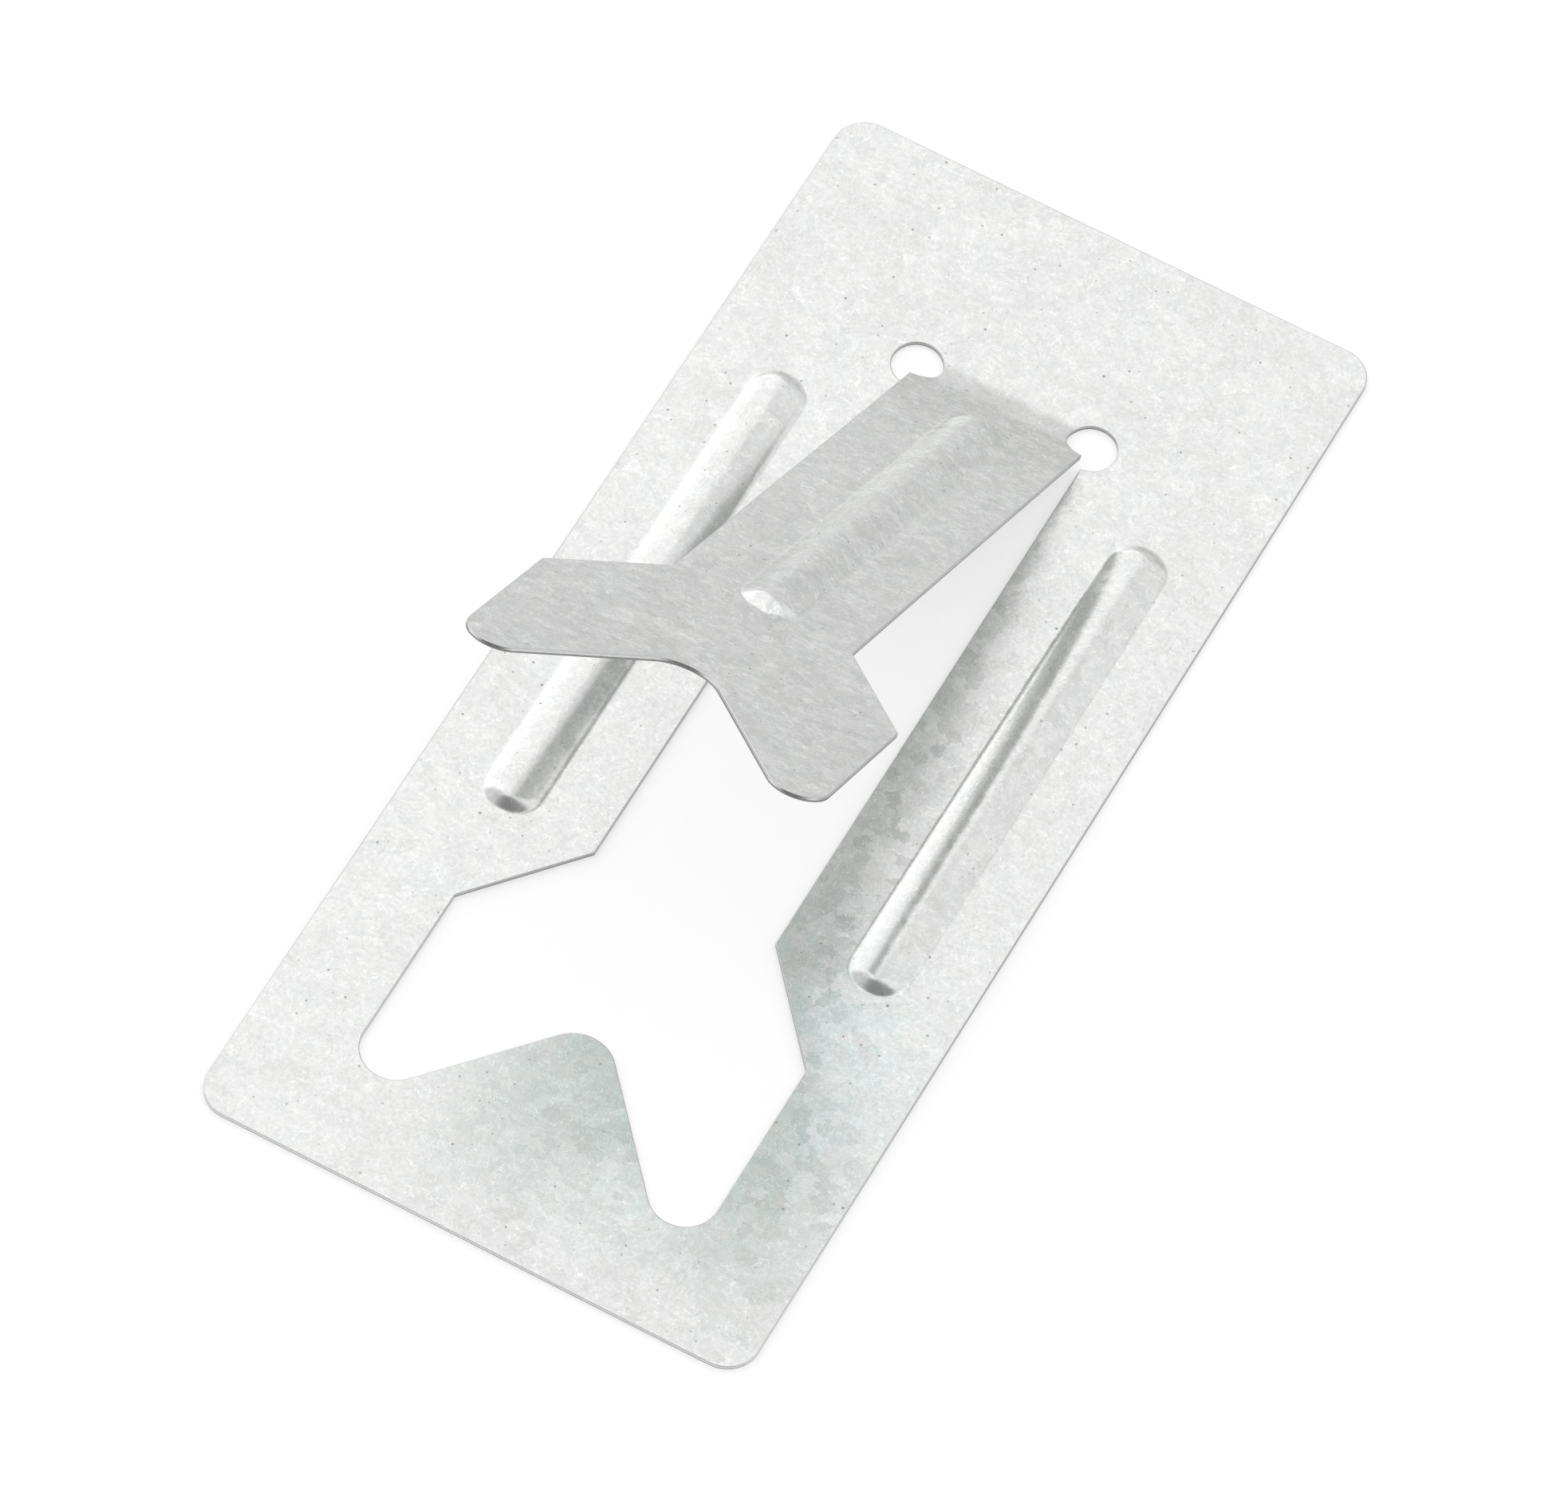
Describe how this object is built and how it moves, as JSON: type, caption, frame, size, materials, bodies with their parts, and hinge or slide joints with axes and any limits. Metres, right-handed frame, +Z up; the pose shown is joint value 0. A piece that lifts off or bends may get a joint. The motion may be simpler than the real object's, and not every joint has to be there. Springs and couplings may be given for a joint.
{
  "type": "soldering iron stand",
  "caption": "Stamped galvanised sheet stand: a flat ribbed plate with a Y-shaped tongue folded up to hold a soldering iron's barrel in its V.",
  "frame": {"origin": "centre of the plate's underside", "axes": "+Z up, +X along the plate's short side, +Y along the plate towards the fold; the head of the tongue is towards -Y"},
  "size_m": [0.058, 0.1286, 0.0534],
  "materials": {
    "base_plate": "galvanised, semi-gloss",
    "fold_bend": "galvanised, semi-gloss",
    "rest_tongue": "galvanised, semi-gloss"
  },
  "bodies": {
    "plate": {"base_plate": "base_plate", "fold_bend": "fold_bend"},
    "tongue": {"rest_tongue": "rest_tongue"}
  },
  "joints": [
    {"name": "tongue_fold", "type": "hinge", "parent": "plate", "child": "tongue", "pos_m": [0, 0.0415, 0.00025], "axis": [-1, 0, 0], "range_deg": [-34, 56], "deforming": ["fold_bend"]}
  ]
}
